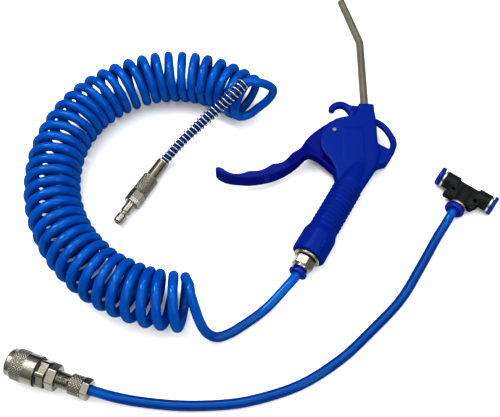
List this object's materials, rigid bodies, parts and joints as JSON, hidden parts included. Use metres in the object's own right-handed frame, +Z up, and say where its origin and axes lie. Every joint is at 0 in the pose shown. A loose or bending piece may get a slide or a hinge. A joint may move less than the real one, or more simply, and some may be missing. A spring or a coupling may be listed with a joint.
{
  "type": "coiled air hose",
  "caption": "Coiled polyurethane air hose with a blow gun and a quick plug, beside a short adapter hose with a quick coupler and a push-in tee.",
  "frame": {"origin": "centre of the laid-out kit's footprint, on the plane it lies on", "axes": "+Z up from the plane; +X to the tee's side, +Y the way the nozzle points; the kit lies flat as laid out"},
  "size_m": [0.3461, 0.3483, 0.0485],
  "materials": {
    "hose_blue": "semi-gloss polyurethane, bright cobalt blue",
    "gun_blue": "satin moulded nylon, ultramarine blue",
    "ring_blue": "gloss moulded, dark blue",
    "nickel": "satin nickel plate",
    "nozzle_metal": "matt, olive-grey",
    "steel": "bright drawn",
    "brass": "turned",
    "rubber_black": "matt",
    "tee_black": "matt moulded"
  },
  "bodies": {
    "kit": {"gun_body": "gun_blue", "lever_pin": "steel", "nozzle_tube": "nozzle_metal", "nozzle_oring": "rubber_black", "valve_bush": "brass", "valve_spring": "steel", "inlet_insert": "nickel", "inlet_fitting": "nickel", "inlet_gasket": "rubber_black", "inlet_oring": "rubber_black", "inlet_grab_ring": "steel", "coil_hose": "hose_blue", "hose_tail_gun": "hose_blue", "hose_tail_plug": "hose_blue", "spring_guard": "steel", "plug_sleeve": "nickel", "plug_nut": "nickel", "plug_ferrule": "brass", "plug_body": "nickel"},
    "trigger": {"trigger_lever": "gun_blue"},
    "valve": {"valve_stem": "steel", "valve_seal": "rubber_black"},
    "inlet_release": {"inlet_release_ring": "ring_blue"},
    "adapter": {"adapter_hose": "hose_blue", "coupler_nut": "nickel", "coupler_ferrule": "brass", "coupler_barrel": "nickel", "coupler_lock_nut": "nickel", "coupler_washer": "rubber_black", "coupler_socket": "nickel", "coupler_rear_ring": "rubber_black", "coupler_sleeve_spring": "steel", "coupler_retaining_ring": "steel", "coupler_balls": "steel", "coupler_seal": "rubber_black", "coupler_poppet_spring": "steel", "tee_body": "tee_black", "tee_bands": "nickel", "tee_orings": "rubber_black", "tee_grab_rings": "steel"},
    "coupler_slide": {"coupler_sleeve": "nickel"},
    "poppet": {"coupler_poppet": "brass", "coupler_poppet_seal": "rubber_black"},
    "tee_left": {"tee_release_ring_left": "ring_blue"},
    "tee_right": {"tee_release_ring_right": "ring_blue"},
    "tee_branch": {"tee_release_ring_branch": "ring_blue"}
  },
  "joints": [
    {"name": "trigger_swing", "type": "hinge", "parent": "kit", "child": "trigger", "pos_m": [0.0527, 0.03011, 0.0122], "axis": [0, 0, 1], "range_deg": [0, 8.6], "stiffness_Nm_per_rad": 2.5, "springref_deg": -8.59},
    {"name": "valve_slide", "type": "slide", "parent": "kit", "child": "valve", "axis": [1, 0, 0], "range_m": [0, 0.0038], "deforming": ["valve_spring"]},
    {"name": "inlet_release_push", "type": "slide", "parent": "kit", "child": "inlet_release", "axis": [0.5, 0.866, 0], "range_m": [0, 0.001], "stiffness_N_per_m": 1500, "springref_m": -0.0005},
    {"name": "adapter_lift", "type": "slide", "parent": "kit", "child": "adapter", "axis": [0, 0, 1], "range_m": [0, 0.1]},
    {"name": "coupler_sleeve_pull", "type": "slide", "parent": "adapter", "child": "coupler_slide", "axis": [0.9455, -0.3256, 0], "range_m": [0, 0.0034], "stiffness_N_per_m": 2500, "springref_m": -0.003, "deforming": ["coupler_sleeve_spring"]},
    {"name": "poppet_push", "type": "slide", "parent": "adapter", "child": "poppet", "axis": [0.9455, -0.3256, 0], "range_m": [0, 0.0045], "stiffness_N_per_m": 800, "springref_m": -0.004, "deforming": ["coupler_poppet_spring"]},
    {"name": "tee_left_push", "type": "slide", "parent": "adapter", "child": "tee_left", "axis": [0.8028, -0.5962, 0], "range_m": [0, 0.001], "stiffness_N_per_m": 1500, "springref_m": -0.0005},
    {"name": "tee_right_release", "type": "slide", "parent": "adapter", "child": "tee_right", "axis": [0.8028, -0.5962, 0], "range_m": [0, 0.001], "stiffness_N_per_m": 1500, "springref_m": -0.0005},
    {"name": "tee_branch_push", "type": "slide", "parent": "adapter", "child": "tee_branch", "axis": [0.5962, 0.8028, 0], "range_m": [0, 0.001], "stiffness_N_per_m": 1500, "springref_m": -0.0005}
  ],
  "couplings": [
    {"joint": "valve_slide", "follows": "trigger_swing", "m_per_rad": 0.024}
  ]
}
